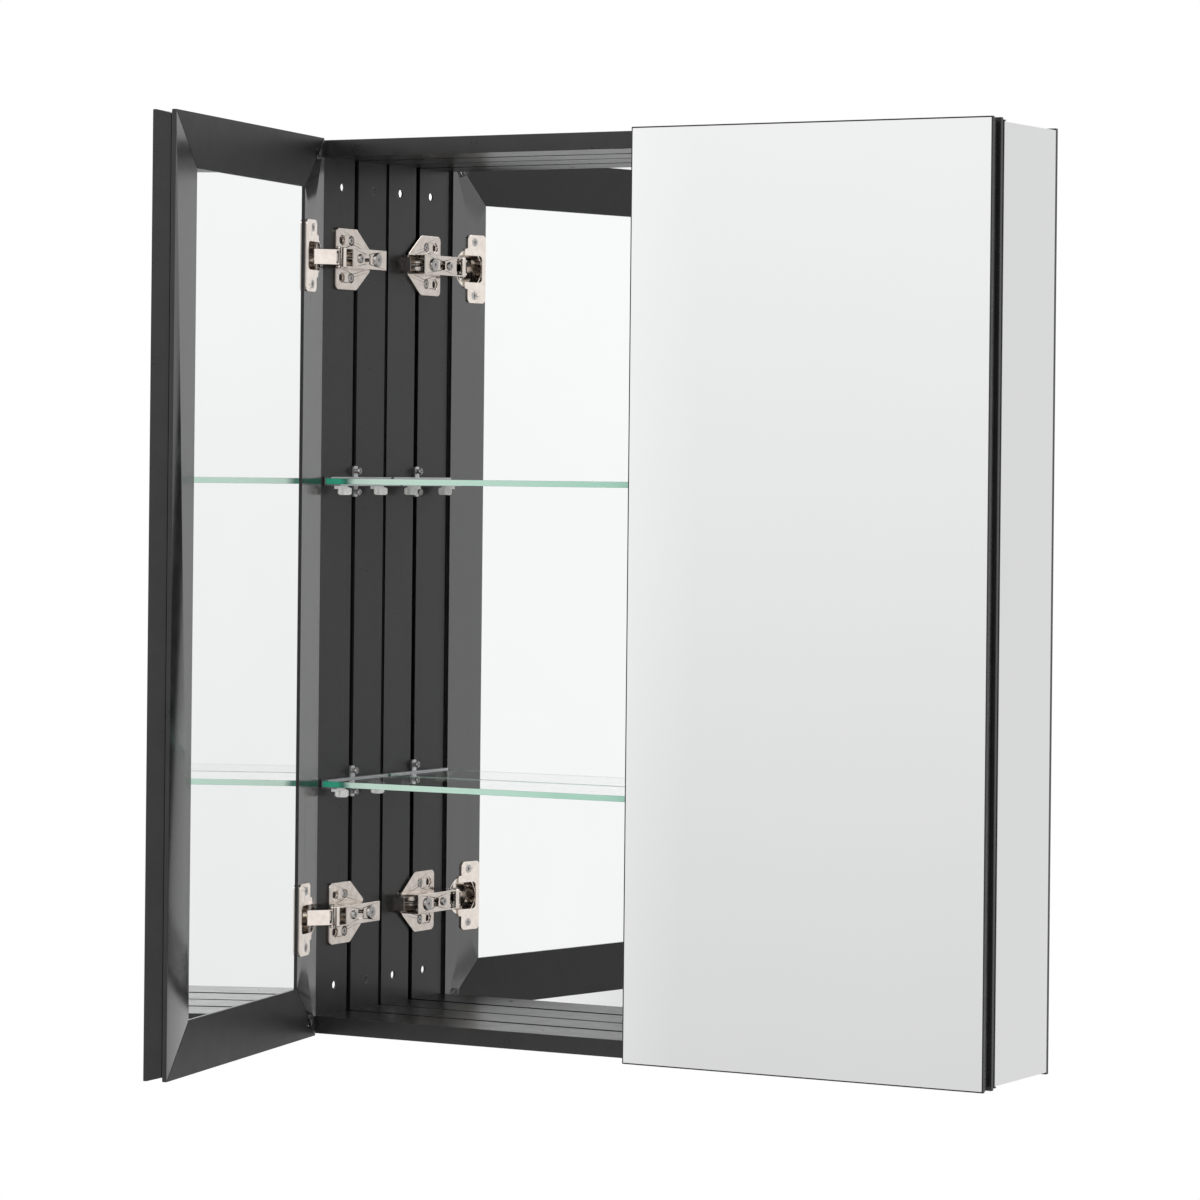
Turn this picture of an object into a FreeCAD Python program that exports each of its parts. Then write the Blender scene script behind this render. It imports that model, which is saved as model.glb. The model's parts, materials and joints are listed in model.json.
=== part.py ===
"""Two-door mirrored medicine cabinet, as an assembly of separate pieces.

Frame: X to the right, -Y to the front, +Z up. The origin is the middle of the back face,
so the wall plane is y = 0. The left door stands open, the right door is closed.
"""
import FreeCAD, Part
import math
import os

doc = FreeCAD.newDocument("medicine_cabinet")

# ---------------------------------------------------------------- driving dimensions (mm)
SIZES = {
    # cabinet body: four lengths of one channelled extrusion, mitred at the corners
    "body_width": 648.0,
    "body_height": 762.0,
    "body_depth": 105.5,
    "wall": 14.5,
    "skin": 2.0,
    "outer_lip": 3.0,
    "slot_mouth": 6.5,
    "slot_width": 11.0,
    "slot_lip": 2.0,
    "slot_depth": 5.0,
    "key_leg": 18.0,
    "key_play": 0.2,
    "mirror_recess": 3.0,
    "recess_front_lip": 1.2,
    "recess_back_lip": 4.0,
    "recess_end_lip": 1.5,
    "back_mirror_thick": 2.0,
    "glass_play": 0.3,
    "skin_play": 0.1,
    "wall_hole_radius": 3.5,
    "wall_hole_spread": 51.0,
    "wall_hole_offset": 3.0,
    "groove_wide": 2.4,
    "groove_deep": 1.2,
    "wall_hole_rise": 685.0,
    # doors: mitred frame, mirror glass outside, mirror and board inside
    "door_gap": 3.0,
    "door_height": 765.0,
    "door_stand_off": 1.5,
    "frame_thick": 15.0,
    "frame_wide": 44.0,
    "face_glass": 5.0,
    "glass_lip": 1.0,
    "frame_lip": 1.5,
    "rebate": 5.0,
    "frame_back": 2.0,
    "frame_face": 2.5,
    "chamber_low": 7.0,
    "chamber_high": 36.0,
    "grip_start": 17.2,
    "grip_run": 13.0,
    "grip_angle": 14.2,
    "notch_start": 5.2,
    "notch_wide": 1.3,
    "notch_deep": 4.2,
    "inner_mirror_thick": 3.0,
    "door_key_leg": 65.0,
    "bumper_radius": 5.0,
    "bumper_thick": 1.2,
    "bumper_inset": 14.0,
    # concealed hinges, measured from the closed door's hinge edge and inner face
    "hinge_rise": 281.0,
    "cup_radius": 17.5,
    "cup_sheet": 0.8,
    "cup_depth": 11.5,
    "cup_inset": 21.3,
    "flange_thick": 1.5,
    "flange_radius": 18.5,
    "ear_start": 19.0,
    "ear_end": 42.5,
    "ear_length": 61.0,
    "ear_round": 4.0,
    "well_tall": 24.0,
    "well_end": 38.0,
    "well_round": 4.0,
    "cup_screw_inset": 28.0,
    "cup_screw_rise": 24.0,
    "cup_screw_head": 3.7,
    "link_width": 13.0,
    "link_sheet": 1.2,
    "link_eye": 2.4,
    "inner_link_width": 7.0,
    "inner_link_eye": 2.3,
    "inner_link_half": 1.3,
    "arm_width": 17.0,
    "arm_sheet": 1.2,
    "arm_eye": 2.4,
    "arm_top": 34.0,
    "arm_end": 73.0,
    "pin_radius": 1.25,
    "cup_pin_length": 25.4,
    "pin_play": 0.3,
    "plate_thick": 2.5,
    "rail_height": 6.0,
    "rail_width": 12.0,
    "plate_screw_rise": 16.0,
    "plate_screw_head": 3.8,
    "plate_sink": 1.4,
    "adjuster_head": 4.0,
    "lock_head": 6.0,
    "open_hole": 2.8,
    "rivet_proud": 0.9,
    "rivet_radius": 1.9,
    "clamp_screw_head": 3.0,
    "screw_head_thick": 1.6,
    "cross_long": 3.8,
    "cross_wide": 0.9,
    "screw_shank": 1.6,
    "screw_play": 0.1,
    # shelves: glass in edge channels that clamp in the side slots
    "shelf_thick": 5.0,
    "shelf_depth": 97.0,
    "shelf_front": 101.0,
    "shelf_end": 17.0,
    "channel_start": 15.5,
    "channel_sheet": 1.2,
    "channel_seat": 32.0,
    "channel_cap": 22.5,
    "tab_end": 16.8,
    "tab_wide": 7.0,
    "tab_tall": 9.5,
    "tab_round": 2.0,
    "washer_thick": 3.0,
    "washer_radius": 2.0,
    "clamp_screw_rise": 9.0,
    "nut_wide": 10.2,
    "nut_thick": 4.0,
    "nut_tall": 9.0,
    "knob_radius": 5.0,
    "knob_tall": 6.5,
    "knob_lobe": 1.5,
    "knob_collar": 3.0,
    "pad_wide": 4.5,
    "pad_tall": 2.7,
    "foot_reach": 13.0,
    "knob_inset": 26.0,
    "upper_shelf_rise": 87.5,
    "lower_shelf_rise": -171.0,
}

# linkage pivots (inboard from the door's hinge edge, into the cabinet from its inner face)
ARM_PIVOT = (29.75, 3.07)
CUP_PIVOT = (10.33, -2.28)
INNER_ARM_PIVOT = (25.0, 9.5)
INNER_LINK_TIP = (15.5, -2.3)
LINK_SHARE = 0.44
OPEN_ANGLE = 78.5

sheet = doc.addObject("Spreadsheet::Sheet", "Sizes")
for row, (alias, value) in enumerate(SIZES.items(), start=1):
    sheet.set("A%d" % row, alias)
    sheet.set("B%d" % row, str(value))
    sheet.setAlias("B%d" % row, alias)
doc.recompute()


class Values:
    """The sheet's numbers, read back by alias."""

    def __getattr__(self, alias):
        return float(sheet.get(alias))


size = Values()
HALF_WIDTH = size.body_width / 2
HALF_HEIGHT = size.body_height / 2
DOOR_WIDTH = (size.body_width - size.door_gap) / 2
DOOR_HALF = size.door_height / 2
DOOR_FACE = -(size.body_depth + size.door_stand_off)
SLOT_MIDDLE = -size.body_depth / 2
LEFT, RIGHT = -1, 1
LOW, HIGH = -1, 1
nodes = []


# ---------------------------------------------------------------- small helpers
def formula(text):
    """A sheet formula from a size written with the sheet's aliases."""
    words = str(text).split()
    return " ".join("Sizes." + word if word in SIZES else word for word in words)


def number(text):
    """The value of a size written with the sheet's aliases, with + - * and / between spaces."""
    total, sign, product = 0.0, 1.0, None
    operator = "*"
    for word in str(text).split():
        if word in ("+", "-"):
            total += sign * product
            sign, product = (1.0 if word == "+" else -1.0), None
        elif word in ("*", "/"):
            operator = word
        else:
            value = SIZES[word] if word in SIZES else float(word)
            if product is None:
                product = value
            else:
                product = product * value if operator == "*" else product / value
    return total + sign * product


def box(length, width, height, corner):
    """A block whose three sizes follow the sheet, with its lowest corner at the given place."""
    block = doc.addObject("Part::Box", "Block")
    for name, text in (("Length", length), ("Width", width), ("Height", height)):
        block.setExpression(name, formula(text))
    block.Placement.Base = FreeCAD.Vector(*corner)
    return block


def cylinder(radius, height, start, axis):
    """A round bar from start along axis."""
    bar = doc.addObject("Part::Cylinder", "Bar")
    bar.setExpression("Radius", formula(radius))
    bar.setExpression("Height", formula(height))
    turn = FreeCAD.Rotation(FreeCAD.Vector(0, 0, 1), FreeCAD.Vector(*axis))
    bar.Placement = FreeCAD.Placement(FreeCAD.Vector(*start), turn)
    return bar


def prism(outline, thickness, base):
    """A flat plate: an outline of x, y points, padded upward from the height base."""
    body = doc.addObject("PartDesign::Body", "Plate")
    sketch = body.newObject("Sketcher::SketchObject", "Outline")
    plane = next(f for f in body.Origin.OriginFeatures if f.Role == "XY_Plane")
    sketch.AttachmentSupport = [(plane, "")]
    sketch.MapMode = "FlatFace"
    corners = [FreeCAD.Vector(x, y, 0) for x, y in outline]
    for here, there in zip(corners, corners[1:] + corners[:1]):
        sketch.addGeometry(Part.LineSegment(here, there), False)
    pad = body.newObject("PartDesign::Pad", "Thickness")
    pad.Profile = sketch
    pad.setExpression("Length", formula(thickness))
    body.Placement.Base = FreeCAD.Vector(0, 0, base)
    return body


def cone(low_radius, high_radius, height, start, axis):
    """A tapered bar from start along axis."""
    bar = doc.addObject("Part::Cone", "Taper")
    for name, text in (("Radius1", low_radius), ("Radius2", high_radius), ("Height", height)):
        bar.setExpression(name, formula(text))
    turn = FreeCAD.Rotation(FreeCAD.Vector(0, 0, 1), FreeCAD.Vector(*axis))
    bar.Placement = FreeCAD.Placement(FreeCAD.Vector(*start), turn)
    return bar


def slab(side, inner, outer, depths, heights):
    """A block between two distances inboard of the hinge edge, two depths y and two heights."""
    return box("%r" % (outer - inner), "%r" % (depths[1] - depths[0]),
               "%r" % (heights[1] - heights[0]),
               (strip(side, inner, outer), depths[0], heights[0]))


def rounded(side, spans, axis, radius):
    """A block with its four edges along axis rounded. spans are three (low, high) pairs: the
    distance inboard of the hinge edge, the depth y and the height z."""
    first, second = [i for i in range(3) if i != axis]
    solids = []
    for shrunk in (first, second):
        inner = [list(span) for span in spans]
        inner[shrunk] = [spans[shrunk][0] + radius, spans[shrunk][1] - radius]
        solids.append(slab(side, *inner[0], inner[1], inner[2]))
    for a in (spans[first][0] + radius, spans[first][1] - radius):
        for b in (spans[second][0] + radius, spans[second][1] - radius):
            start = [0, 0, 0]
            start[first], start[second], start[axis] = a, b, spans[axis][0]
            direction = [0, 0, 0]
            direction[axis] = -side if axis == 0 else 1
            start[0] = side * (HALF_WIDTH - start[0])
            solids.append(cylinder("%r" % radius, "%r" % (spans[axis][1] - spans[axis][0]),
                                   start, direction))
    return together(solids)


def shared(pieces):
    """The space that all the pieces share."""
    overlap = doc.addObject("Part::MultiCommon", "Shared")
    overlap.Shapes = list(pieces)
    return overlap


def together(pieces):
    """Several solids as one solid."""
    pieces = list(pieces)
    if len(pieces) == 1:
        return pieces[0]
    joined = doc.addObject("Part::MultiFuse", "Joined")
    joined.Shapes = pieces
    return joined


def without(base, tools):
    """The base less every tool."""
    rest = doc.addObject("Part::Cut", "Rest")
    rest.Base = base
    rest.Tool = together(tools)
    return rest


def group(pieces):
    """Identical pieces kept as separate solids in one node."""
    compound = doc.addObject("Part::Compound", "Group")
    compound.Links = list(pieces)
    return compound


def keep(name, piece, pose=None):
    """Names a finished piece, turns it to its rest pose and lists it as a node."""
    piece.Label = name
    if pose is not None:
        piece.Placement = pose.multiply(piece.Placement)
    nodes.append(piece)


def turn_about(point, degrees):
    """A turn about the upright axis through a plan point."""
    centre = FreeCAD.Vector(point[0], point[1], 0)
    rotation = FreeCAD.Rotation(FreeCAD.Vector(0, 0, 1), degrees)
    return FreeCAD.Placement(FreeCAD.Vector(0, 0, 0), rotation, centre)


def plan(side, point):
    """Plan place of a point given inboard from the hinge edge and inward from the door face."""
    return (side * (HALF_WIDTH - point[0]), DOOR_FACE + point[1])


def strip(side, inner, outer):
    """Lowest x of a block that lies between two distances inboard of the hinge edge."""
    return min(side * (HALF_WIDTH - inner), side * (HALF_WIDTH - outer))


# ---------------------------------------------------------------- framed extrusions
def mitred_bar(length, depth, thick, cutters, reach):
    """A bar along +X with its outer edge at z = 0, cut at 45 degrees at both ends.

    cutters take away its chambers and slots, and reach is longer than the sloped cut.
    """
    bar = box(length, depth, thick, (0, -number(depth), 0))
    slope = reach / math.sqrt(2)
    ends = []
    for start, height, angle in ((0, 0, -45), (number(length) - slope, slope, 45)):
        end = box(str(reach), depth + " + 2", str(reach), (0, 0, 0))
        place = FreeCAD.Vector(start, -number(depth) - 1, height)
        end.Placement = FreeCAD.Placement(place, FreeCAD.Rotation(FreeCAD.Vector(0, 1, 0), angle))
        ends.append(end)
    return without(bar, cutters + ends)


def frame_places(half_width, half_height, face, centre=0.0):
    """Placements that turn a bar into the bottom, top, left and right side of a frame."""
    about_y = FreeCAD.Vector(0, 1, 0)
    return {
        "bottom": FreeCAD.Placement(
            FreeCAD.Vector(centre - half_width, face, -half_height), FreeCAD.Rotation(about_y, 0)),
        "top": FreeCAD.Placement(
            FreeCAD.Vector(centre + half_width, face, half_height), FreeCAD.Rotation(about_y, 180)),
        "left": FreeCAD.Placement(
            FreeCAD.Vector(centre - half_width, face, half_height), FreeCAD.Rotation(about_y, 90)),
        "right": FreeCAD.Placement(
            FreeCAD.Vector(centre + half_width, face, -half_height), FreeCAD.Rotation(about_y, -90)),
    }


def body_bar(length, recess=0.0):
    """One side of the cabinet body, with its middle slot, two lipped channels that open
    outwards, and a recess for side glass."""
    mouth = box(length, "slot_mouth", "slot_lip",
                (0, SLOT_MIDDLE - size.slot_mouth / 2, size.wall - size.slot_lip))
    slot = box(length, "slot_width", "slot_depth",
               (0, SLOT_MIDDLE - size.slot_width / 2,
                size.wall - size.slot_lip - size.slot_depth))
    chamber_run = "body_depth / 2 - slot_width / 2 - skin - skin"
    groove = box(length, "groove_wide", "groove_deep",
                 (0, -size.back_mirror_thick - size.groove_wide, size.wall - size.groove_deep))
    relief = box(length, "slot_width + skin + skin + outer_lip + outer_lip",
                 "wall - slot_lip - slot_depth - skin - %g" % recess,
                 (0, SLOT_MIDDLE - size.slot_width / 2 - size.skin - size.outer_lip, recess))
    cutters = [mouth, slot, groove, relief]
    for start in (-size.body_depth + size.skin, SLOT_MIDDLE + size.slot_width / 2 + size.skin):
        cutters.append(box(length, chamber_run, "wall - skin - skin - %g" % recess,
                           (0, start, size.skin + recess)))
        cutters.append(box(length, chamber_run + " - outer_lip - outer_lip",
                           "skin + %g" % recess, (0, start + size.outer_lip, 0)))
    if recess:
        cutters.append(box(length, "body_depth - recess_front_lip - recess_back_lip",
                           "mirror_recess", (0, -size.body_depth + size.recess_front_lip, 0)))
    return mitred_bar(length, "body_depth", "wall", cutters, 2 * size.wall)


def wall_holes(side):
    """Through holes for the screws that hold the cabinet in a wall recess."""
    tools = []
    for level in (LOW, HIGH):
        for row in (LOW, HIGH):
            depth = SLOT_MIDDLE + size.wall_hole_offset + row * size.wall_hole_spread / 2
            start = (side * (HALF_WIDTH + 1), depth, level * size.wall_hole_rise / 2)
            tools.append(cylinder("wall_hole_radius", "wall + 2", start, (-side, 0, 0)))
    return tools


PLATE_COLUMNS = (28.0, 42.7)


def plate_screw_places(side):
    """Where the hinge plates are screwed to one side panel, through their rear holes."""
    for level in (LOW, HIGH):
        for row in (LOW, HIGH):
            rise = level * size.hinge_rise + row * size.plate_screw_rise
            yield plan(side, (size.wall, PLATE_COLUMNS[1])) + (rise,)


def build_body():
    """The four body extrusions, their corner keys, the back mirror and the side mirror."""
    places = frame_places(HALF_WIDTH, HALF_HEIGHT, 0)
    for name, key, length in (("top_panel", "top", "body_width"),
                              ("bottom_panel", "bottom", "body_width")):
        bar = body_bar(length)
        bar.Placement = places[key]
        keep(name, without(bar, [side_mirror_block()]))
    for name, key, side, recess in (("left_side_panel", "left", LEFT, 0.0),
                                    ("right_side_panel", "right", RIGHT, size.mirror_recess)):
        bar = body_bar("body_height", recess)
        bar.Placement = places[key]
        holes = wall_holes(side)
        for place in plate_screw_places(side):
            holes.append(cylinder("screw_shank + screw_play", "skin + skin", place, (side, 0, 0)))
        keep(name, without(bar, holes))

    keys = []
    for side in (LEFT, RIGHT):
        recess = size.mirror_recess if side == RIGHT else 0.0
        for level in (LOW, HIGH):
            for start in (-size.body_depth + size.skin,
                          SLOT_MIDDLE + size.slot_width / 2 + size.skin):
                keys.append(body_key(side, level, start + size.key_play, recess))
    keep("body_corner_keys", group(keys))

    opening = "body_width - wall - wall - skin_play - skin_play"
    rise = "body_height - wall - wall - skin_play - skin_play"
    inset = size.wall + size.skin_play
    keep("back_mirror", box(opening, "back_mirror_thick", rise,
                            (-HALF_WIDTH + inset, -size.back_mirror_thick, -HALF_HEIGHT + inset)))
    keep("right_side_mirror", side_mirror_block())


def side_mirror_block():
    """The glass let into the right side, which also notches the top and bottom panels."""
    return box("mirror_recess", "body_depth - recess_front_lip - recess_back_lip",
               "body_height - recess_end_lip - recess_end_lip",
               (HALF_WIDTH - size.mirror_recess, -size.body_depth + size.recess_front_lip,
                -HALF_HEIGHT + size.recess_end_lip))


def body_key(side, level, start, recess):
    """An L-shaped key inside the chambers of two body extrusions that meet at a corner."""
    run = "body_depth / 2 - slot_width / 2 - skin - skin - key_play - key_play"
    across = "wall - skin - skin - key_play - key_play"
    edge = size.skin + size.key_play
    low_x = HALF_WIDTH - edge - recess
    thick_x = number(across) - recess
    upright = box(across + " - %g" % recess, run, "key_leg",
                  (side * low_x - (thick_x if side == RIGHT else 0), start,
                   level * (HALF_HEIGHT - edge) - (size.key_leg if level == HIGH else 0)))
    flat = box("key_leg - %g" % recess, run, across,
               (side * low_x - (size.key_leg - recess if side == RIGHT else 0), start,
                level * (HALF_HEIGHT - edge) - (number(across) if level == HIGH else 0)))
    return together([upright, flat])


# ---------------------------------------------------------------- doors
def door_bar(length):
    """One side of a door frame: a seat and thin lip for the face mirror, a sloped edge groove
    for the fingers, a chamber and an inner rebate."""
    grip = box(length, "grip_run", "notch_deep", (0, 0, 0))
    lean = FreeCAD.Rotation(FreeCAD.Vector(1, 0, 0), size.grip_angle)
    corner = FreeCAD.Vector(0, -size.grip_start, 0)
    drop = lean.multVec(FreeCAD.Vector(0, 0, -size.notch_deep))
    grip.Placement = FreeCAD.Placement(corner + drop, lean)
    notch = box(length, "notch_wide", "notch_deep", (0, -size.notch_start, 0))
    chamber = box(length, "frame_thick - frame_back - frame_face", "chamber_high - chamber_low",
                  (0, -size.frame_thick + size.frame_back, size.chamber_low))
    rebate = box(length, "frame_thick - frame_lip", "rebate",
                 (0, -size.frame_thick, size.frame_wide - size.rebate))
    seat = box(length, "face_glass", "frame_wide",
               (0, -size.frame_thick - size.face_glass, size.glass_lip))
    return mitred_bar(length, "frame_thick + face_glass", "frame_wide",
                      [grip, notch, chamber, rebate, seat], 2 * size.frame_wide)


def build_door(side, word, pose):
    """One door: frame, keys, mirrors, board, bumpers and the hinge cups set in its stile."""
    middle = side * (HALF_WIDTH - DOOR_WIDTH / 2)
    places = frame_places(DOOR_WIDTH / 2, DOOR_HALF, DOOR_FACE, middle)
    width = "body_width / 2 - door_gap / 2"
    for name, key, length in (("top_rail", "top", width), ("bottom_rail", "bottom", width)):
        bar = door_bar(length)
        bar.Placement = places[key]
        keep("%s_door_%s" % (word, name), bar, pose)
    hinge_key, free_key = ("left", "right") if side == LEFT else ("right", "left")
    stile = door_bar("door_height")
    stile.Placement = places[free_key]
    keep("%s_door_free_stile" % word, stile, pose)
    stile = door_bar("door_height")
    stile.Placement = places[hinge_key]
    keep("%s_door_hinge_stile" % word, without(stile, cup_holes(side)), pose)

    keys = []
    for edge in (LOW, HIGH):
        for level in (LOW, HIGH):
            keys.append(door_key(middle, edge, level))
    keep("%s_door_corner_keys" % word, group(keys), pose)

    margin = " - glass_lip - glass_lip - skin_play - skin_play"
    edge_inset = size.glass_lip + size.skin_play
    keep("%s_door_front_mirror" % word,
         box(width + margin, "face_glass", "door_height" + margin,
             (middle - DOOR_WIDTH / 2 + edge_inset,
              DOOR_FACE - size.frame_thick - size.face_glass, -DOOR_HALF + edge_inset)), pose)
    inset = size.frame_wide - size.rebate + 2 * size.glass_play
    across = "%s - frame_wide - frame_wide + rebate + rebate - 4 * glass_play" % width
    rise = "door_height - frame_wide - frame_wide + rebate + rebate - 4 * glass_play"
    mirror_back = DOOR_FACE - size.frame_lip - size.inner_mirror_thick
    keep("%s_door_inner_mirror" % word,
         box(across, "inner_mirror_thick", rise,
             (middle - DOOR_WIDTH / 2 + inset, mirror_back, -DOOR_HALF + inset)), pose)
    keep("%s_door_backing_board" % word,
         box(across, "frame_thick - frame_lip - inner_mirror_thick", rise,
             (middle - DOOR_WIDTH / 2 + inset, DOOR_FACE - size.frame_thick,
              -DOOR_HALF + inset)), pose)

    bumpers = []
    for level in (LOW, HIGH):
        spot = (middle + side * (DOOR_WIDTH / 2 - size.bumper_inset), DOOR_FACE,
                level * (DOOR_HALF - size.bumper_inset))
        bumpers.append(cylinder("bumper_radius", "bumper_thick", spot, (0, 1, 0)))
    keep("%s_door_bumpers" % word, group(bumpers), pose)


def door_key(middle, edge, level):
    """An L-shaped key in the chambers of two door bars that meet at a corner."""
    start = size.chamber_low + size.key_play
    across = "chamber_high - chamber_low - key_play - key_play"
    leg = "door_key_leg - chamber_low"
    deep = "frame_thick - frame_back - frame_face - key_play - key_play"
    front = DOOR_FACE - size.frame_thick + size.frame_back + size.key_play
    arms = []
    for run, rise in ((leg, across), (across, leg)):
        x_near = edge * (DOOR_WIDTH / 2 - start)
        z_near = level * (DOOR_HALF - start)
        arms.append(box(run, deep, rise,
                        (middle + x_near - (number(run) if edge == HIGH else 0), front,
                         z_near - (number(rise) if level == HIGH else 0))))
    return together(arms)


# ---------------------------------------------------------------- hinges
def cup_holes(side):
    """Bores in the hinge stile for the two cups and their screws."""
    tools = []
    x, y = plan(side, (size.cup_inset, 0))
    screw_x, _ = plan(side, (size.cup_screw_inset, 0))
    for level in (LOW, HIGH):
        rise = level * size.hinge_rise
        tools.append(cylinder("cup_radius + screw_play", "cup_depth + screw_play",
                              (x, y, rise), (0, -1, 0)))
        for row in (LOW, HIGH):
            tools.append(cylinder("screw_shank + screw_play", "frame_face + 0.1",
                                  (screw_x, y, rise + row * size.cup_screw_rise), (0, -1, 0)))
    return tools


def hinge_cup(side, rise):
    """The pressed cup: a round body with a squarish well, under a flange with two ears."""
    x, y = plan(side, (size.cup_inset, 0))
    top = y + size.flange_thick
    half = size.ear_length / 2
    well_half = size.well_tall / 2
    barrel = cylinder("cup_radius", "cup_depth", (x, y - size.cup_depth, rise), (0, 1, 0))
    disc = cylinder("flange_radius", "flange_thick", (x, y, rise), (0, 1, 0))
    ears = rounded(side, ((size.ear_start, size.ear_end), (y, top), (rise - half, rise + half)),
                   1, size.ear_round)
    floor = y - size.cup_depth + size.cup_sheet
    squared = rounded(side, ((1.0, size.well_end), (floor, top), (rise - well_half,
                                                                  rise + well_half)),
                      1, size.well_round)
    bore = cylinder("cup_radius - cup_sheet", "cup_depth", (x, floor, rise), (0, 1, 0))
    mouth = rounded(side, ((1.0, size.well_end), (y, top), (rise - well_half,
                                                            rise + well_half)),
                    1, size.well_round)
    gap_end = size.wall + 0.5
    gap = slab(side, 0, gap_end, (y, top), (rise - size.flange_radius, rise + size.flange_radius))
    tools = [shared([squared, bore]), mouth, gap, cup_pin(side, rise)]
    for place in cup_screw_places(side, rise):
        tools.append(cone("cup_screw_head + 0.05", "screw_shank + 0.05", "flange_thick", place,
                          (0, -1, 0)))
    return without(together([barrel, disc, ears]), tools)


def cup_screw_places(side, rise):
    """Where the two countersunk screws stand on a cup's flange."""
    x, y = plan(side, (size.cup_screw_inset, size.flange_thick))
    for row in (LOW, HIGH):
        yield (x, y, rise + row * size.cup_screw_rise)


def cup_pin(side, rise):
    """The pin that carries the outer link, let into the cup's wall at both ends."""
    start = plan(side, CUP_PIVOT) + (rise - size.cup_pin_length / 2,)
    return cylinder("pin_radius", "cup_pin_length", start, (0, 0, 1))


def cross_recess(top, axis):
    """The cross-shaped driver recess in a screw head whose top centre is top."""
    blades = []
    along = 0 if axis[0] else 1
    for upright in (False, True):
        spans = [size.cross_wide, size.cross_wide, size.cross_wide]
        spans[2 if upright else 1 - along] = size.cross_long
        spans[along] = size.screw_head_thick
        corner = [top[i] - spans[i] / 2 + axis[i] * size.screw_head_thick / 6 for i in range(3)]
        blades.append(box(repr(spans[0]), repr(spans[1]), repr(spans[2]), corner))
    return blades


def screw(place, axis, head, shank_length):
    """A pan-headed cross screw: head above place against axis, shank along axis."""
    top = [p - a * size.screw_head_thick for p, a in zip(place, axis)]
    crown = cone(head + " - 0.8", head, "screw_head_thick / 2", top, axis)
    middle = [p - a * size.screw_head_thick / 2 for p, a in zip(place, axis)]
    rim = cylinder(head, "screw_head_thick / 2", middle, axis)
    shank = cylinder("screw_shank", shank_length, place, axis)
    return without(together([crown, rim, shank]), cross_recess(top, axis))


def sunk_screw(place, axis, shank_length):
    """A countersunk cross screw whose head lies flush with place, on top of the flange."""
    head = cone("cup_screw_head", "screw_shank", "flange_thick", place, axis)
    shank = cylinder("screw_shank", shank_length, place, axis)
    return without(together([head, shank]), cross_recess(place, axis))


def link_point(side, start, end, along, across):
    """Plan point at a distance along a link and across it, towards the cup's bottom."""
    run, rise = end[0] - start[0], end[1] - start[1]
    length = math.hypot(run, rise)
    step = (run / length, rise / length)
    return plan(side, (start[0] + along * step[0] + across * step[1],
                       start[1] + along * step[1] - across * step[0]))


def outer_link(side, rise):
    """The box-shaped outer link: two cheeks with pin eyes, joined by a web."""
    length = math.hypot(ARM_PIVOT[0] - CUP_PIVOT[0], ARM_PIVOT[1] - CUP_PIVOT[1])
    crescent = ((-1.4, 1.6), (3.2, 1.2), (length - 3.2, 1.2), (length + 1.3, 1.7),
                (length - 3.6, 5.0), (-3.4, 5.0), (-3.8, 3.9))
    web = ((-3.8, 3.9), (length - 3.2, 3.9), (length - 3.6, 5.0), (-3.4, 5.0))

    def outline(points):
        return [link_point(side, CUP_PIVOT, ARM_PIVOT, s, w) for s, w in points]

    solids = [prism(outline(web), "link_width", rise - size.link_width / 2)]
    holes = []
    for level in (LOW, HIGH):
        base = rise + level * (size.link_width / 2) - (size.link_sheet if level == HIGH else 0)
        solids.append(prism(outline(crescent), "link_sheet", base))
        for pivot in (ARM_PIVOT, CUP_PIVOT):
            solids.append(cylinder("link_eye", "link_sheet", plan(side, pivot) + (base,),
                                   (0, 0, 1)))
    for pivot in (ARM_PIVOT, CUP_PIVOT):
        holes.append(cylinder("pin_radius + pin_play", "link_width + 2",
                              plan(side, pivot) + (rise - size.link_width / 2 - 1,), (0, 0, 1)))
    return without(together(solids), holes)


def inner_link(side, rise):
    """The inner link: a narrow lever on its own arm pin, with its cup pivot left open."""
    length = math.hypot(INNER_LINK_TIP[0] - INNER_ARM_PIVOT[0],
                        INNER_LINK_TIP[1] - INNER_ARM_PIVOT[1])
    half = size.inner_link_half
    blade = [link_point(side, INNER_ARM_PIVOT, INNER_LINK_TIP, s, w)
             for s, w in ((0, -half), (length, -half), (length, half), (0, half))]
    base = rise - size.inner_link_width / 2
    solids = [prism(blade, "inner_link_width", base)]
    for pivot, radius in ((INNER_ARM_PIVOT, "inner_link_eye"),
                          (INNER_LINK_TIP, "inner_link_half")):
        solids.append(cylinder(radius, "inner_link_width", plan(side, pivot) + (base,),
                               (0, 0, 1)))
    hole = cylinder("pin_radius + pin_play", "inner_link_width",
                    plan(side, INNER_ARM_PIVOT) + (base,), (0, 0, 1))
    return without(together(solids), [hole])


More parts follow.
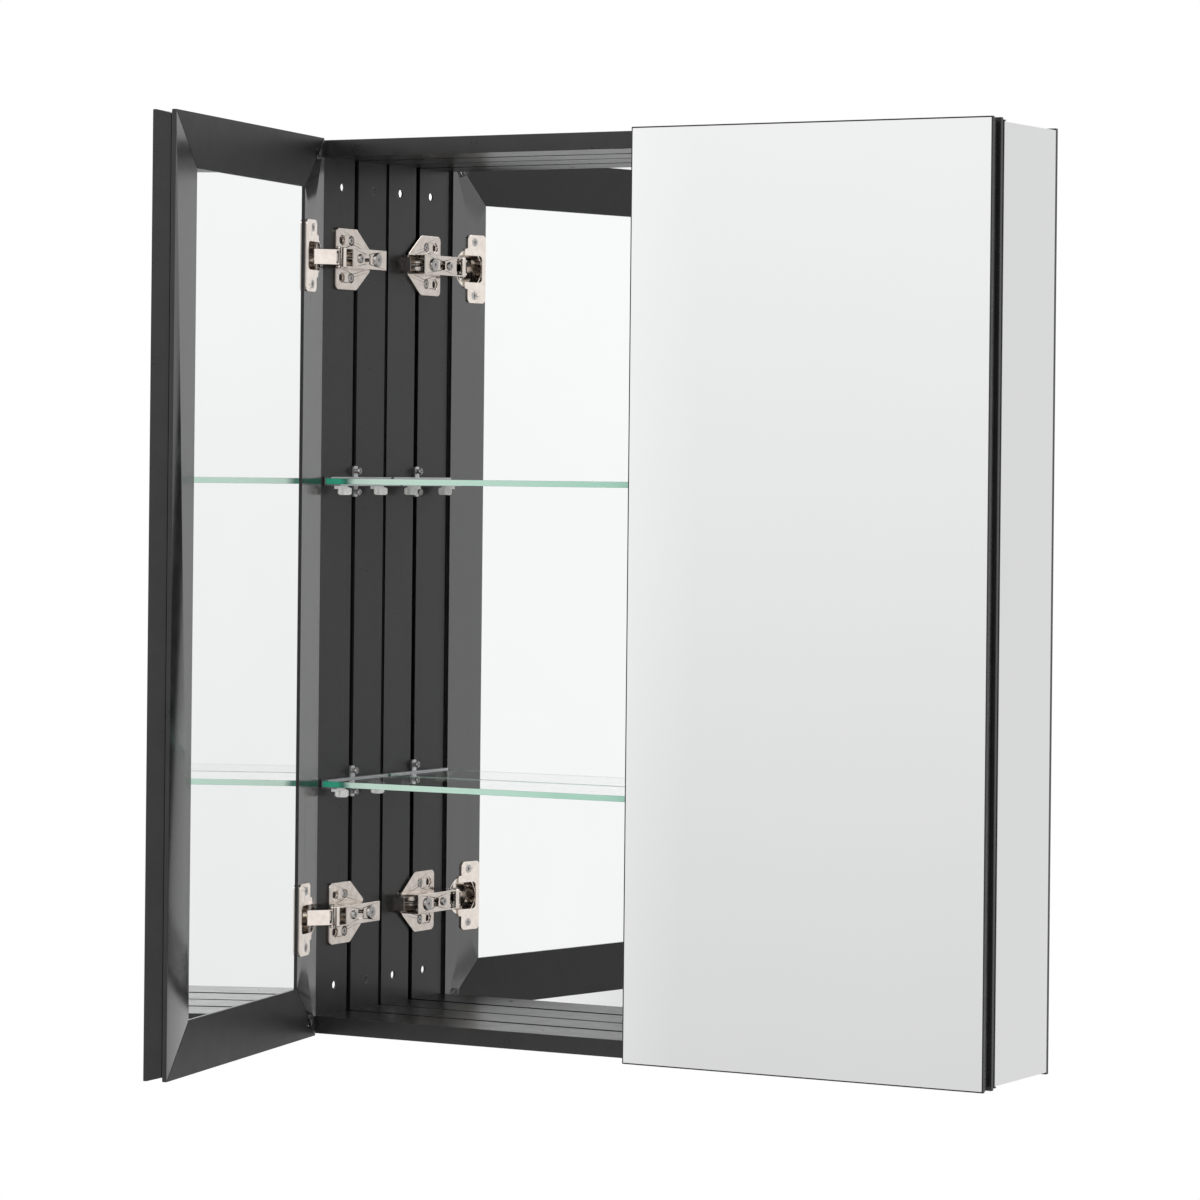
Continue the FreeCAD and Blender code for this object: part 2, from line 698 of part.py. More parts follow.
def hinge_arm(side, rise):
    """The arm: a channel over the plate's rail, with a nose that carries the link pins."""
    top = size.arm_top
    lid = ((top, 8.5), (33.6, 4.2), (33.2, 2.2), (32.6, 1.6), (32.5, 2.4), (32.8, 3.6), (32.8, 8.5))
    cheek = ((17.5, size.arm_end), (top, size.arm_end)) + lid[:4] + (
        (28.6, 1.1), (26.6, 4.0), (22.8, 8.0), (22.4, 12.0), (17.5, 26.0))
    solids = []
    for level in (LOW, HIGH):
        base = rise + level * size.arm_width / 2 - (size.arm_sheet if level == HIGH else 0)
        solids.append(prism([plan(side, p) for p in cheek], "arm_sheet", base))
        solids.append(cylinder("arm_eye", "arm_sheet", plan(side, ARM_PIVOT) + (base,),
                               (0, 0, 1)))
    solids.append(box("arm_sheet", "arm_end - 19", "arm_width",
                      (strip(side, top - size.arm_sheet, top), DOOR_FACE + 19,
                       rise - size.arm_width / 2)))
    solids.append(prism([plan(side, p) for p in lid], "arm_width", rise - size.arm_width / 2))
    tools = [cylinder("pin_radius", "arm_width + 2",
                      plan(side, pivot) + (rise - size.arm_width / 2 - 1,), (0, 0, 1))
             for pivot in (ARM_PIVOT, INNER_ARM_PIVOT)]
    for place in adjuster_places(side, rise):
        tools.append(cylinder("screw_shank + screw_play", "arm_sheet + 1",
                              (place[0] - side * 0.5, place[1], place[2]), (side, 0, 0)))
    tools.append(rounded(side, ((top - size.arm_sheet, top), (DOOR_FACE + 38.0, DOOR_FACE + 47.0),
                                (rise - 4.0, rise + 4.0)), 0, 2.5))
    return without(together(solids), tools)


def adjuster_places(side, rise):
    """Where the two adjusting screws stand on an arm."""
    for reach in (31.0, 58.0):
        yield plan(side, (size.arm_top, reach)) + (rise,)


def hinge_plate(side, rise):
    """The four-hole mounting plate with wings above and below and a rail under the arm."""
    wing = ((18.8, 10.0), (18.8, 22.5), (19.6, 24.8), (22.2, 26.5), (50.2, 26.5), (52.7, 25.6),
            (72.5, 10.0), (73.5, 8.0))
    low_wing = [(v, -w) for v, w in reversed(wing)]
    outline = list(wing) + low_wing
    plate = doc.addObject("Part::Feature", "Wings")
    x = side * (HALF_WIDTH - size.wall)
    corners = [FreeCAD.Vector(x, DOOR_FACE + v, rise + w) for v, w in outline]
    face = Part.Face(Part.makePolygon(corners + corners[:1]))
    plate.Shape = face.extrude(FreeCAD.Vector(-side * size.plate_thick, 0, 0))
    rail = box("rail_height", "54", "rail_width",
               (strip(side, size.wall, size.wall + size.rail_height), DOOR_FACE + 21.0,
                rise - size.rail_width / 2))
    tools = []
    for row in (LOW, HIGH):
        for column in PLATE_COLUMNS:
            start = plan(side, (size.wall, column)) + (rise + row * size.plate_screw_rise,)
            bore = "open_hole" if column == PLATE_COLUMNS[0] else "screw_shank + screw_play"
            tools.append(cylinder(bore, "plate_thick", start, (-side, 0, 0)))
            sink = plan(side, (size.wall + size.plate_thick - size.plate_sink, column))
            tools.append(cylinder("plate_screw_head + 0.5", "plate_sink",
                                  sink + (start[2],), (-side, 0, 0)))
    for place in adjuster_places(side, rise):
        start = (side * (HALF_WIDTH - size.wall), place[1], place[2])
        tools.append(cylinder("screw_shank + screw_play", "rail_height", start, (-side, 0, 0)))
    return without(together([plate, rail]), tools)


def build_hinges(side, word, door_pose, link_pose, inner_pose):
    """Both hinges of one door. Returns the screws and pins that stay with the cabinet."""
    cup_screws, cup_pins, inner_links = [], [], []
    plate_screws, adjusters, arm_pins = [], [], []
    for level, place_word in ((HIGH, "upper"), (LOW, "lower")):
        rise = level * size.hinge_rise
        name = "%s_%s_hinge" % (word, place_word)
        keep(name + "_cup", hinge_cup(side, rise), door_pose)
        keep(name + "_outer_link", outer_link(side, rise), link_pose)
        keep(name + "_arm", hinge_arm(side, rise))
        keep(name + "_plate", hinge_plate(side, rise))
        inner_links.append(inner_link(side, rise))
        half_pin = size.arm_width / 2 + size.rivet_proud
        for pivot in (ARM_PIVOT, INNER_ARM_PIVOT):
            spot = plan(side, pivot)
            arm_pins.append(together([
                cylinder("pin_radius", "arm_width + rivet_proud + rivet_proud",
                         spot + (rise - half_pin,), (0, 0, 1)),
                cylinder("rivet_radius", "rivet_proud", spot + (rise - half_pin,), (0, 0, 1)),
                cylinder("rivet_radius", "rivet_proud", spot + (rise + size.arm_width / 2,),
                         (0, 0, 1))]))
        cup_pins.append(cup_pin(side, rise))
        for place in cup_screw_places(side, rise):
            cup_screws.append(sunk_screw(place, (0, -1, 0), "flange_thick + frame_face"))
        for place, head in zip(adjuster_places(side, rise), ("adjuster_head", "lock_head")):
            adjusters.append(screw(place, (side, 0, 0), head, "arm_top - wall - 1"))
    for place in plate_screw_places(side):
        on_plate = (place[0] - side * (size.plate_thick - size.plate_sink), place[1], place[2])
        plate_screws.append(screw(on_plate, (side, 0, 0), "plate_screw_head",
                                  "plate_thick - plate_sink + 3.0"))
    keep("%s_hinge_cup_screws" % word, group(cup_screws), door_pose)
    keep("%s_hinge_cup_pins" % word, group(cup_pins), door_pose)
    keep("%s_hinge_inner_links" % word, group(inner_links), inner_pose)
    return plate_screws, adjusters, arm_pins


# ---------------------------------------------------------------- shelves
KNOB_DEPTHS = (16.0, 74.0)


def shelf_channel(side, rise, knob_spots):
    """The channel around one end of the glass, with its two tabs over the side slot."""
    sheet_thick = size.channel_sheet
    depths = (-size.shelf_front, -size.shelf_front + size.shelf_depth)
    floor, ceiling = rise - sheet_thick, rise + size.shelf_thick
    start = size.channel_start
    solids = [slab(side, start, start + sheet_thick, depths, (floor, ceiling + sheet_thick)),
              slab(side, start, size.channel_seat, depths, (floor, rise)),
              slab(side, start, size.channel_cap, depths, (ceiling, ceiling + sheet_thick))]
    near = size.wall + size.glass_play
    tab_depths = (SLOT_MIDDLE - size.tab_wide / 2, SLOT_MIDDLE + size.tab_wide / 2)
    reach = (floor - size.tab_tall, ceiling + sheet_thick + size.tab_tall)
    solids.append(rounded(side, ((near, size.tab_end), tab_depths, reach), 0, size.tab_round))
    holes = [slab(side, size.tab_end, size.channel_seat, depths, (rise, ceiling))]
    for place in clamp_screw_places(side, rise):
        holes.append(cylinder("screw_shank + screw_play", "tab_end", place, (side, 0, 0)))
    for spot in knob_spots:
        holes.append(cylinder("screw_shank + screw_play", "channel_sheet", spot + (floor,),
                              (0, 0, 1)))
    return without(together(solids), holes)


def clamp_screw_places(side, rise):
    """Where the two clamp screws of one channel meet its tabs."""
    for level in (LOW, HIGH):
        height = rise + size.shelf_thick / 2 + level * size.clamp_screw_rise
        yield (plan(side, (size.tab_end, 0))[0], SLOT_MIDDLE, height)


def thumb_knob(side, spot, floor):
    """A clear thumb knob: a lobed head under a collar, a stem, and a foot that grips the channel."""
    head_top = floor - size.pad_tall / 2
    base = spot + (head_top - size.knob_tall,)
    solids = [cylinder("screw_shank", "channel_sheet + pad_tall / 2", spot + (head_top,),
                       (0, 0, 1)),
              cylinder("knob_collar", "pad_tall / 2", spot + (head_top,), (0, 0, 1)),
              cylinder("knob_radius", "knob_tall", base, (0, 0, 1))]
    foot_end = spot[1] - size.foot_reach
    solids.append(box("pad_wide", "foot_reach", "pad_tall / 3",
                      (spot[0] - size.pad_wide / 2, foot_end, floor - size.pad_tall / 3)))
    solids.append(box("pad_wide", "pad_wide", "pad_tall",
                      (spot[0] - size.pad_wide / 2, foot_end, floor - size.pad_tall)))
    for lobe in range(6):
        angle = math.radians(60 * lobe)
        centre = (spot[0] + size.knob_radius * math.cos(angle),
                  spot[1] + size.knob_radius * math.sin(angle), base[2] + 0.8)
        solids.append(cylinder("knob_lobe", "knob_tall - 1.6", centre, (0, 0, 1)))
    return together(solids)


def build_shelf(word, rise):
    """A glass shelf in two edge channels, with the clamps that hold it in the side slots."""
    keep(word + "_glass",
         box("body_width - 2 * shelf_end", "shelf_depth", "shelf_thick",
             (-HALF_WIDTH + size.shelf_end, -size.shelf_front, rise)))
    channels, screws, nuts, knobs = [], [], [], []
    floor = rise - size.channel_sheet
    for side in (LEFT, RIGHT):
        spots = [(plan(side, (size.knob_inset, 0))[0], -size.shelf_front + depth)
                 for depth in KNOB_DEPTHS]
        channels.append(shelf_channel(side, rise, spots))
        for place in clamp_screw_places(side, rise):
            washer = cylinder("washer_radius", "washer_thick", place, (-side, 0, 0))
            head_seat = (place[0] - side * size.washer_thick, place[1], place[2])
            screws.append(together([washer, screw(head_seat, (side, 0, 0), "clamp_screw_head",
                                                  "tab_end - wall + slot_lip + washer_thick + 3")]))
            nut_x = strip(side, size.wall - size.slot_lip - 0.5 - size.nut_thick,
                          size.wall - size.slot_lip - 0.5)
            nut = box("nut_thick", "nut_wide", "nut_tall",
                      (nut_x, SLOT_MIDDLE - size.nut_wide / 2, place[2] - size.nut_tall / 2))
            bore = cylinder("screw_shank + screw_play", "wall",
                            (plan(side, (size.wall, 0))[0], SLOT_MIDDLE, place[2]), (side, 0, 0))
            nuts.append(without(nut, [bore]))
        knobs.extend(thumb_knob(side, spot, floor) for spot in spots)
    keep(word + "_channels", group(channels))
    keep(word + "_clamp_screws", group(screws))
    keep(word + "_slot_nuts", group(nuts))
    keep(word + "_knobs", group(knobs))


# ---------------------------------------------------------------- the whole cabinet
def open_poses(side, angle):
    """Rest poses of a door's outer links and of the door, open by the given angle."""
    swing = -side * LINK_SHARE * angle
    link_pose = turn_about(plan(side, ARM_PIVOT), swing)
    fold = side * (1 + LINK_SHARE) * angle
    door_pose = link_pose.multiply(turn_about(plan(side, CUP_PIVOT), fold))
    inner_pose = turn_about(plan(side, INNER_ARM_PIVOT), swing)
    return door_pose, link_pose, inner_pose


build_body()
fixed_groups = [[], [], []]
for door_side, door_word, opening in ((LEFT, "left", OPEN_ANGLE), (RIGHT, "right", 0.0)):
    poses = open_poses(door_side, opening)
    build_door(door_side, door_word, poses[0])
    for pile, made in zip(fixed_groups, build_hinges(door_side, door_word, *poses)):
        pile.extend(made)
keep("hinge_plate_screws", group(fixed_groups[0]))
keep("hinge_adjusting_screws", group(fixed_groups[1]))
keep("hinge_arm_pins", group(fixed_groups[2]))
build_shelf("upper_shelf", size.upper_shelf_rise)
build_shelf("lower_shelf", size.lower_shelf_rise)
doc.recompute()

for item in doc.Objects:
    if "Invalid" in item.State or "Error" in item.State:
        raise RuntimeError("%s (%s) failed: %s" % (item.Name, item.Label, item.State))
os.makedirs("parts", exist_ok=True)
for node in nodes:
    shape = node.Shape
    if shape.isNull() or not shape.isValid() or not shape.Solids:
        raise RuntimeError("%s has no valid solid" % node.Label)
    shape.exportStep("parts/%s.step" % node.Label)
print("%d nodes, %d solids" % (len(nodes), sum(len(node.Shape.Solids) for node in nodes)))
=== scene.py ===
import json
import math

import bpy
from mathutils import Matrix, Vector

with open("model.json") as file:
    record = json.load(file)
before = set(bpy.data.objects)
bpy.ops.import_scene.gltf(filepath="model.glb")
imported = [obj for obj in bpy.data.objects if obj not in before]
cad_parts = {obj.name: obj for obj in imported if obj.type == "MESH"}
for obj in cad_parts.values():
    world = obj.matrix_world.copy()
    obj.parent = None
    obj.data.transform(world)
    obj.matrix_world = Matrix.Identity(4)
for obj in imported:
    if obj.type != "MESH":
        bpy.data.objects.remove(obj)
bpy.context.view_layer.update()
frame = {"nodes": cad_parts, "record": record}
NODES = frame["nodes"]
MM = 0.001
NOISE_LOW = 0.3
NOISE_HIGH = 0.7

# ---------------------------------------------------------------- node helpers


def new_material(name):
    """A node material with a Principled shader: returns the material, its tree, the shader."""
    material = bpy.data.materials.new(name)
    material.use_nodes = True
    tree = material.node_tree
    return material, tree, tree.nodes["Principled BSDF"]


def add(tree, kind, **inputs):
    """A new node with its inputs set by name."""
    node = tree.nodes.new(kind)
    for name, value in inputs.items():
        node.inputs[name.replace("_", " ")].default_value = value
    return node


def noise(tree, scale, detail=2.0, roughness=0.5, stretch=None):
    """Noise in the object's own space, in metres, optionally stretched along an axis."""
    place = tree.nodes.new("ShaderNodeTexCoord")
    source = place.outputs["Object"]
    if stretch:
        mapping = add(tree, "ShaderNodeMapping", Scale=stretch)
        tree.links.new(source, mapping.inputs["Vector"])
        source = mapping.outputs["Vector"]
    texture = add(tree, "ShaderNodeTexNoise", Scale=scale, Detail=detail, Roughness=roughness)
    tree.links.new(source, texture.inputs["Vector"])
    return texture.outputs["Fac"]


def spread(tree, source, low, high):
    """Maps the usual run of a noise signal onto low to high."""
    node = add(tree, "ShaderNodeMapRange", From_Min=NOISE_LOW, From_Max=NOISE_HIGH,
               To_Min=low, To_Max=high)
    tree.links.new(source, node.inputs["Value"])
    return node.outputs["Result"]


def tint(tree, source, dark, light):
    """A colour ramp between two colours, driven by a noise signal."""
    ramp = tree.nodes.new("ShaderNodeValToRGB")
    ends = ((NOISE_LOW, dark), (NOISE_HIGH, light))
    for point, (position, colour) in zip(ramp.color_ramp.elements, ends):
        point.position = position
        point.color = (*colour, 1.0)
    tree.links.new(source, ramp.inputs["Fac"])
    return ramp.outputs["Color"]


def bump(tree, shader, source, distance, strength=1.0):
    """Small relief from a signal, in metres."""
    node = add(tree, "ShaderNodeBump", Strength=strength, Distance=distance)
    tree.links.new(source, node.inputs["Height"])
    tree.links.new(node.outputs["Normal"], shader.inputs["Normal"])


def surface(name, pattern, dark, light, roughness, relief=None, **sockets):
    """A material whose colour, gloss and relief all follow one pattern of noise."""
    material, tree, shader = new_material(name)
    signal = noise(tree, *pattern)
    tree.links.new(tint(tree, signal, dark, light), shader.inputs["Base Color"])
    tree.links.new(spread(tree, signal, *roughness), shader.inputs["Roughness"])
    if relief:
        bump(tree, shader, signal, *relief)
    for socket, value in sockets.items():
        shader.inputs[socket.replace("_", " ")].default_value = value
    return material


# ---------------------------------------------------------------- materials


def powder_coat(name, roughness, ior):
    """Black powder coat: fine orange-peel relief and faint mottling."""
    material, tree, shader = new_material(name)
    peel = noise(tree, 1100.0, 2.0, 0.5)
    mottle = noise(tree, 55.0, 5.0, 0.65)
    tree.links.new(tint(tree, mottle, (0.014, 0.0138, 0.014), (0.020, 0.0197, 0.0195)),
                   shader.inputs["Base Color"])
    tree.links.new(spread(tree, mottle, *roughness), shader.inputs["Roughness"])
    bump(tree, shader, peel, 0.000006, 0.4)
    shader.inputs["IOR"].default_value = ior
    return material


def nickel():
    """Bright nickel plate on pressed steel, with faint drawing marks."""
    material, tree, shader = new_material("nickel")
    marks = noise(tree, 500.0, 3.0, 0.6, (1.0, 1.0, 0.08))
    cloud = noise(tree, 160.0, 3.0, 0.5)
    tree.links.new(tint(tree, cloud, (0.74, 0.66, 0.60), (0.84, 0.77, 0.71)),
                   shader.inputs["Base Color"])
    tree.links.new(spread(tree, marks, 0.09, 0.19), shader.inputs["Roughness"])
    bump(tree, shader, marks, 0.00001, 0.25)
    shader.inputs["Metallic"].default_value = 1.0
    return material


# Silvered glass: clear reflection with a trace of haze.
MIRROR_TONE = (0.94, 0.945, 0.945)
MIRROR_GLASS = surface("mirror_glass", (3.0, 4.0, 0.6), tuple(0.985 * c for c in MIRROR_TONE),
                       MIRROR_TONE, (0.004, 0.012), Metallic=1.0)
# The ground edge of the mirror glass: a thin green-grey line over dark backing paint.
MIRROR_EDGE = surface("mirror_edge", (1200.0, 3.0, 0.6), (0.035, 0.05, 0.045), (0.08, 0.1, 0.09),
                      (0.25, 0.45), (0.00002, 0.4))
# Bright plated steel of screws, pins and nuts.
PLATED_STEEL = surface("plated_steel", (900.0, 3.0, 0.6), (0.36, 0.345, 0.335),
                       (0.54, 0.525, 0.51), (0.2, 0.38), (0.00001, 0.5), Metallic=1.0)
# Light grey satin aluminium of the shelf channels.
CHANNEL_GREY = surface("channel_grey", (600.0, 3.0, 0.6, (1.0, 0.05, 1.0)), (0.52, 0.53, 0.54),
                       (0.64, 0.65, 0.66), (0.3, 0.45), (0.00001, 0.4), Metallic=0.85)
# Clear moulded plastic of the bumpers, with faint flow marks.
CLEAR_PLASTIC = surface("clear_plastic", (260.0, 3.0, 0.6), (0.93, 0.94, 0.95), (0.99, 0.99, 1.0),
                        (0.02, 0.08), (0.00005, 0.3), Transmission_Weight=1.0, IOR=1.42)
# Milky clear plastic of the thumb knobs, with a faint painted glow: emission that brightens them
# though they are no lamp.
GLOWING_FROSTED_PLASTIC = surface("glowing_frosted_plastic", (420.0, 4.0, 0.6), (0.80, 0.80, 0.78),
                          (0.95, 0.95, 0.93), (0.10, 0.26), (0.0001, 0.4),
                          Transmission_Weight=0.15, IOR=1.49,
                          Emission_Color=(1.0, 1.0, 0.97, 1.0), Emission_Strength=0.10)
# Float glass of a shelf: nearly colourless through its faces.
SHELF_GLASS = surface("shelf_glass", (6.0, 2.0, 0.4), (0.94, 0.98, 0.962), (0.965, 0.99, 0.978),
                      (0.0, 0.01), Transmission_Weight=1.0, IOR=1.45)
# Dark fibre board inside the doors.
FILL_BOARD = surface("fill_board", (700.0, 5.0, 0.7), (0.05, 0.048, 0.045), (0.11, 0.105, 0.1),
                     (0.7, 0.9), (0.0001, 0.6))
# Cast alloy of the corner keys.
KEY_ALLOY = surface("key_alloy", (500.0, 4.0, 0.6), (0.4, 0.4, 0.41), (0.55, 0.55, 0.56),
                    (0.4, 0.6), (0.00005, 0.5), Metallic=1.0)

# Colour along half of a shelf's edge, by share of EDGE_REACH from the middle; the same colour
# also drives the edge's painted glow.
EDGE_REACH = 0.32
EDGE_WAVER = 0.02
EDGE_COLOURS = ((0.75, (0.43, 0.59, 0.50)), (0.90, (0.46, 0.60, 0.52)),
                (0.925, (0.03, 0.12, 0.09)), (0.945, (0.03, 0.29, 0.18)))
EDGE_MIDDLE = (0.28, 0.50, 0.40, 1.0)
EDGE_END = (0.03, 0.30, 0.19, 1.0)


def arithmetic(tree, operation, source, factor=None, offset=None):
    """One maths node on a signal, with an optional factor and an optional signal added."""
    node = tree.nodes.new("ShaderNodeMath")
    node.operation = operation
    tree.links.new(source, node.inputs[0])
    if factor is not None:
        node.inputs[1].default_value = factor
    if offset is not None:
        tree.links.new(offset, node.inputs[2])
    return node.outputs[0]


def glowing_shelf_edge():
    """The polished edge of a glass shelf: deep green at its ends, paler along the middle, and
    given a painted glow in the same colour.
    """
    material, tree, shader = new_material("glowing_shelf_edge")
    place = tree.nodes.new("ShaderNodeTexCoord")
    split = tree.nodes.new("ShaderNodeSeparateXYZ")
    tree.links.new(place.outputs["Object"], split.inputs["Vector"])
    distance = arithmetic(tree, "ABSOLUTE", split.outputs["X"])
    waver = noise(tree, 60.0, 3.0, 0.5, (0.15, 0.15, 1.0))
    shifted = arithmetic(tree, "MULTIPLY_ADD", waver, EDGE_WAVER, distance)
    ramp = tree.nodes.new("ShaderNodeValToRGB")
    points = ramp.color_ramp.elements
    points[0].color = EDGE_MIDDLE
    points[1].color = EDGE_END
    for position, colour in EDGE_COLOURS:
        points.new(position).color = (*colour, 1.0)
    scaled = arithmetic(tree, "MULTIPLY", shifted, 1.0 / EDGE_REACH)
    tree.links.new(scaled, ramp.inputs["Fac"])
    tree.links.new(ramp.outputs["Color"], shader.inputs["Base Color"])
    # Painted glow: the edge colour goes into emission too, so the edge shines though it is no
    # lamp.
    tree.links.new(ramp.outputs["Color"], shader.inputs["Emission Color"])
    shader.inputs["Emission Strength"].default_value = 0.35
    tree.links.new(spread(tree, waver, 0.10, 0.22), shader.inputs["Roughness"])
    return material


FINISH = {
    "black_frame": powder_coat("powder_coat", (0.27, 0.34), 1.44),
    "mirror": MIRROR_GLASS,
    "shelf_glass": SHELF_GLASS,
    "clear_plastic": CLEAR_PLASTIC,
    "board": FILL_BOARD,
    "key_metal": KEY_ALLOY,
    "shelf_channel": CHANNEL_GREY,
    "bright_steel": PLATED_STEEL,
    "nickel": nickel(),
}
STILE_FACE_FINISH = powder_coat("powder_coat_rubbed", (0.13, 0.18), 2.0)
RAIL_FACE_FINISH = powder_coat("powder_coat_matt", (0.36, 0.44), 1.32)
EDGE_FINISH = {"mirror": MIRROR_EDGE, "shelf_glass": glowing_shelf_edge()}

# ---------------------------------------------------------------- CAD nodes
# Width of the broken edges, in millimetres.
ROUND = {
    "black_frame": 0.45,
    "mirror": 0.2,
    "shelf_glass": 0.5,
    "nickel": 0.4,
    "bright_steel": 0.2,
    "shelf_channel": 0.2,
    "clear_plastic": 0.3,
}
ROUND_ABOVE = math.radians(50)
WELD_REACH = 0.00001
MAIN_FACE = 0.9
FLAT_ON = 0.98
DOOR_OPENING = math.radians(78.5)
INWARD = {"left": Vector((math.sin(DOOR_OPENING), math.cos(DOOR_OPENING), 0)),
          "right": Vector((0, 1, 0))}
slot_of = {entry["node"]: entry["material_slot"] for entry in frame["record"]["subparts"]}


def finish_edges(obj, edge_finish):
    """Gives every face that is square to the main one the finish of a cut edge."""
    obj.data.materials.append(edge_finish)
    main = max(obj.data.polygons, key=lambda polygon: polygon.area).normal.copy()
    for polygon in obj.data.polygons:
        polygon.material_index = 0 if abs(polygon.normal.dot(main)) > MAIN_FACE else 1


def finish_inner_face(obj, name):
    """Gives the inward face of a door's stile or rail its own gloss."""
    obj.data.materials.append(RAIL_FACE_FINISH if name.endswith("_rail") else STILE_FACE_FINISH)
    inward = INWARD[name.split("_")[0]]
    for polygon in obj.data.polygons:
        polygon.material_index = 1 if polygon.normal.dot(inward) > FLAT_ON else 0


def break_edges(obj, width):
    """Rounds the sharp edges a little."""
    bevel = obj.modifiers.new("broken_edges", "BEVEL")
    bevel.width = width
    bevel.segments = 2
    bevel.limit_method = "ANGLE"
    bevel.angle_limit = ROUND_ABOVE
    bevel.harden_normals = False


for name, obj in NODES.items():
    slot = slot_of[name]
    obj.data.materials.clear()
    # The knobs take the frosted plastic with its painted glow; every other part takes the finish
    # of its slot.
    obj.data.materials.append(GLOWING_FROSTED_PLASTIC if name.endswith("_knobs") else FINISH[slot])
    weld = obj.modifiers.new("weld", "WELD")
    weld.merge_threshold = WELD_REACH
    if slot in EDGE_FINISH:
        finish_edges(obj, EDGE_FINISH[slot])
    if slot == "black_frame" and "_door_" in name:
        finish_inner_face(obj, name)
    if slot in ROUND and not name.endswith("_side_panel") and name != "back_mirror":
        break_edges(obj, ROUND[slot] * MM)

# ---------------------------------------------------------------- stage, light and camera


def build_floor():
    """A plain pale disc below the cabinet."""
    mesh = bpy.data.meshes.new("floor")
    turns = [math.radians(angle) for angle in range(0, 360, FLOOR_STEP)]
    rim = [(FLOOR_RADIUS * math.cos(turn), FLOOR_RADIUS * math.sin(turn), -FLOOR_DROP)
           for turn in turns]
    mesh.from_pydata(rim, [], [tuple(range(len(rim)))])
    material, tree, shader = new_material("floor_paint")
    shader.inputs["Base Color"].default_value = (0.93, 0.93, 0.93, 1.0)
    shader.inputs["Roughness"].default_value = 0.9
    shader.inputs["Specular IOR Level"].default_value = 0.1
    mesh.materials.append(material)
    obj = bpy.data.objects.new("floor", mesh)
    bpy.context.scene.collection.objects.link(obj)
    return obj


FLOOR_DROP = 1.1
FLOOR_RADIUS = 2.4
FLOOR_STEP = 5
floor = build_floor()


class Room:
    """Builds the soft studio surround as arithmetic on the direction of a ray."""

    def __init__(self, tree):
        """Splits the direction into x, y and z."""
        self.tree = tree
        place = tree.nodes.new("ShaderNodeTexCoord")
        split = tree.nodes.new("ShaderNodeSeparateXYZ")
        tree.links.new(place.outputs["Generated"], split.inputs["Vector"])
        self.x, self.y, self.z = (split.outputs[axis] for axis in "XYZ")

    def ramp(self, source, stops):
        """A smooth curve through (input, level) stops, for inputs between -1 and 1."""
        shift = self.tree.nodes.new("ShaderNodeMapRange")
        shift.inputs["From Min"].default_value = -1.0
        self.tree.links.new(source, shift.inputs["Value"])
        curve = self.tree.nodes.new("ShaderNodeValToRGB")
        points = curve.color_ramp.elements
        for point, (value, level) in ((points[0], stops[0]), (points[1], stops[-1])):
            point.position = (value + 1) / 2
            point.color = (level, level, level, 1.0)
        for value, level in stops[1:-1]:
            points.new((value + 1) / 2).color = (level, level, level, 1.0)
        self.tree.links.new(shift.outputs["Result"], curve.inputs["Fac"])
        return curve.outputs["Color"]

    def blend(self, share, low, high):
        """Mixes two levels by a third."""
        mix = self.tree.nodes.new("ShaderNodeMix")
        mix.data_type = "RGBA"
        self.tree.links.new(share, mix.inputs["Factor"])
        self.tree.links.new(low, mix.inputs[6])
        self.tree.links.new(high, mix.inputs[7])
        return mix.outputs[2]


world = bpy.data.worlds.new("studio")
bpy.context.scene.world = world
world.use_nodes = True
sky = world.node_tree.nodes["Background"]
room = Room(world.node_tree)
# Brightness of the surround, as (direction, level) stops: behind the cabinet across x, and before
# it upwards, for four sectors of x from left to right (far, card, open, side, then far again).
BEHIND_ACROSS = ((-1.0, 0.55), (-0.75, 0.8), (-0.62, 1.0), (0.25, 1.0), (0.40, 0.735), (0.6, 0.6),
                 (1.0, 0.45))
CARD_UP = ((-1.0, 0.25), (-0.5, 0.45), (-0.124, 0.73), (0.071, 0.925), (0.3, 1.0), (0.6, 0.8),
           (1.0, 0.6))
OPEN_UP = ((-1.0, 0.2), (-0.4, 0.35), (-0.2, 0.82), (-0.11, 0.93), (0.07, 1.04), (0.12, 1.1),
           (0.2, 2.6), (0.5, 2.6), (0.62, 0.9), (1.0, 0.5))
SIDE_UP = ((-1.0, 0.1), (-0.35, 0.2), (-0.15, 0.7), (0.15, 0.75), (0.4, 0.25), (1.0, 0.1))
FAR_UP = ((-1.0, 0.3), (-0.2, 1.0), (0.1, 1.1), (1.0, 0.7))
card = room.ramp(room.z, CARD_UP)
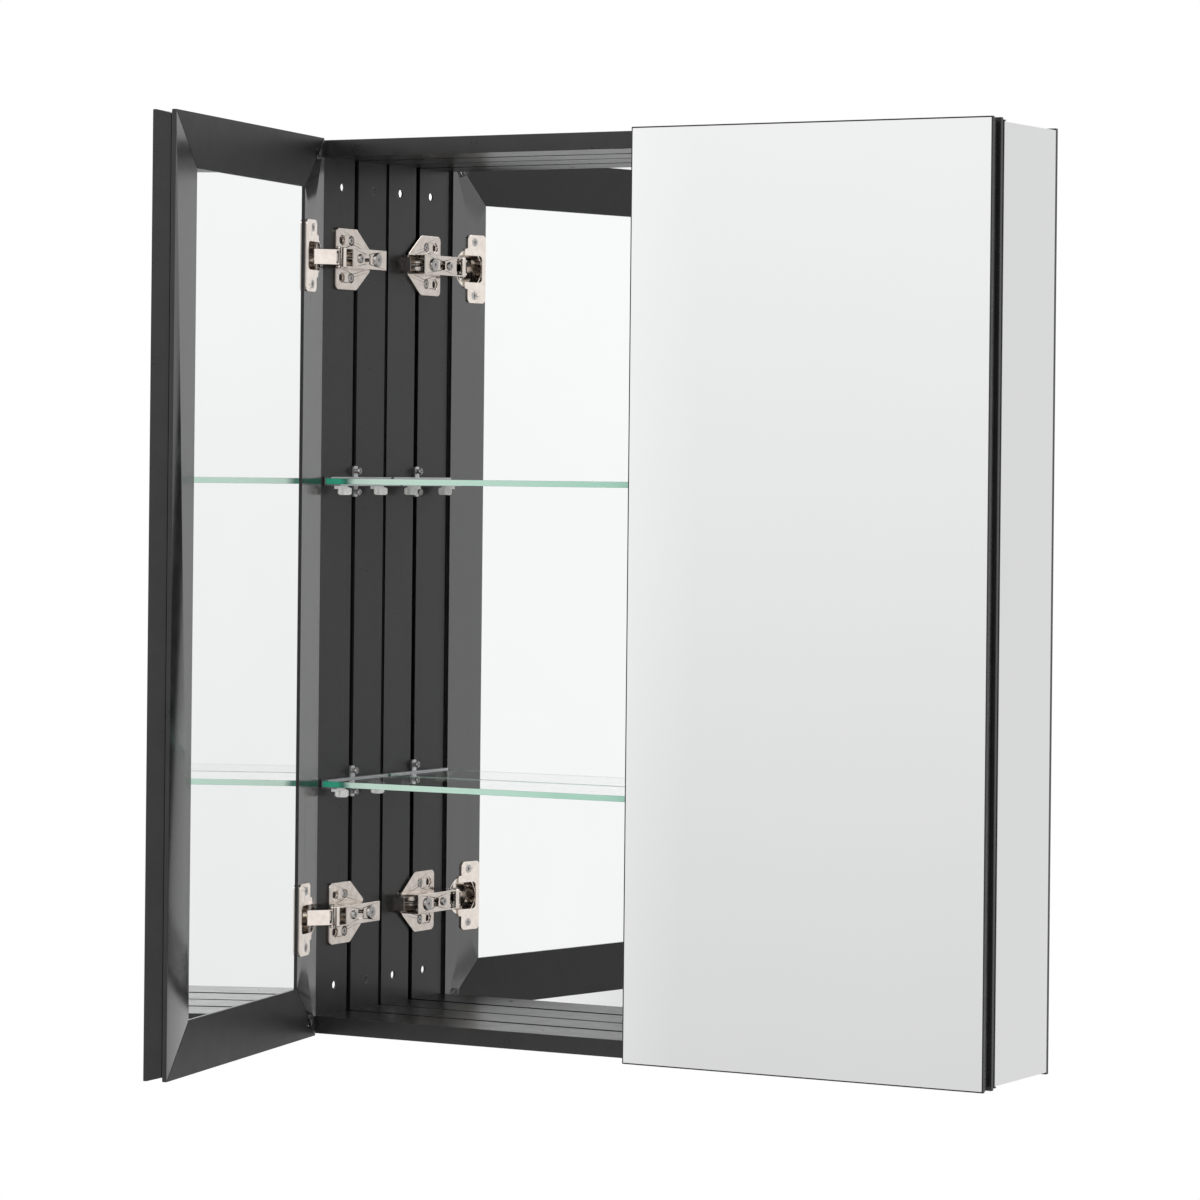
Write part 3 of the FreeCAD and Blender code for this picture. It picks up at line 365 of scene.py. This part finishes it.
opened = room.ramp(room.z, OPEN_UP)
beside = room.ramp(room.z, SIDE_UP)
far = room.ramp(room.z, FAR_UP)
front = far
for start, end, sector in ((-0.515, -0.47, card), (-0.25, -0.05, opened), (0.27, 0.42, beside),
                           (0.62, 0.72, far)):
    front = room.blend(room.ramp(room.x, ((start, 0.0), (end, 1.0))), front, sector)
behind = room.ramp(room.x, BEHIND_ACROSS)
facing = room.ramp(room.y, ((-0.05, 0.0), (0.05, 1.0)))
world.node_tree.links.new(room.blend(facing, front, behind), sky.inputs["Color"])
sky.inputs["Strength"].default_value = 1.0


def soft_box(name, place, power):
    """A square area light aimed at the middle of the cabinet."""
    lamp = bpy.data.lights.new(name, "AREA")
    lamp.shape = "RECTANGLE"
    lamp.size = SOFT_BOX_SIZE
    lamp.size_y = SOFT_BOX_SIZE
    lamp.energy = power
    obj = bpy.data.objects.new(name, lamp)
    obj.location = place
    obj.rotation_euler = (-Vector(place)).to_track_quat("-Z", "Y").to_euler()
    bpy.context.scene.collection.objects.link(obj)


SOFT_BOX_SIZE = 1.6
soft_box("key_light", (2.2, -2.6, 2.2), 20.0)
soft_box("fill_light", (-2.4, -2.4, 1.2), 10.0)

CAMERA_PLACE = (1.8099, -3.4128, 0.1031)
CAMERA_YAW = math.radians(29.175)
CAMERA_ROLL = math.radians(0.59)
CAMERA_LENS = 137.85
CAMERA_SHIFT = -0.1094

camera_data = bpy.data.cameras.new("camera")
camera_data.sensor_width = 36.0
camera_data.lens = CAMERA_LENS
camera_data.shift_y = CAMERA_SHIFT
camera_data.clip_end = 60.0
camera = bpy.data.objects.new("camera", camera_data)
bpy.context.scene.collection.objects.link(camera)
camera.matrix_world = (Matrix.Translation(CAMERA_PLACE) @ Matrix.Rotation(CAMERA_YAW, 4, "Z")
                       @ Matrix.Rotation(math.pi / 2, 4, "X")
                       @ Matrix.Rotation(CAMERA_ROLL, 4, "Z"))
bpy.context.scene.camera = camera
bpy.context.scene.view_settings.view_transform = "Standard"
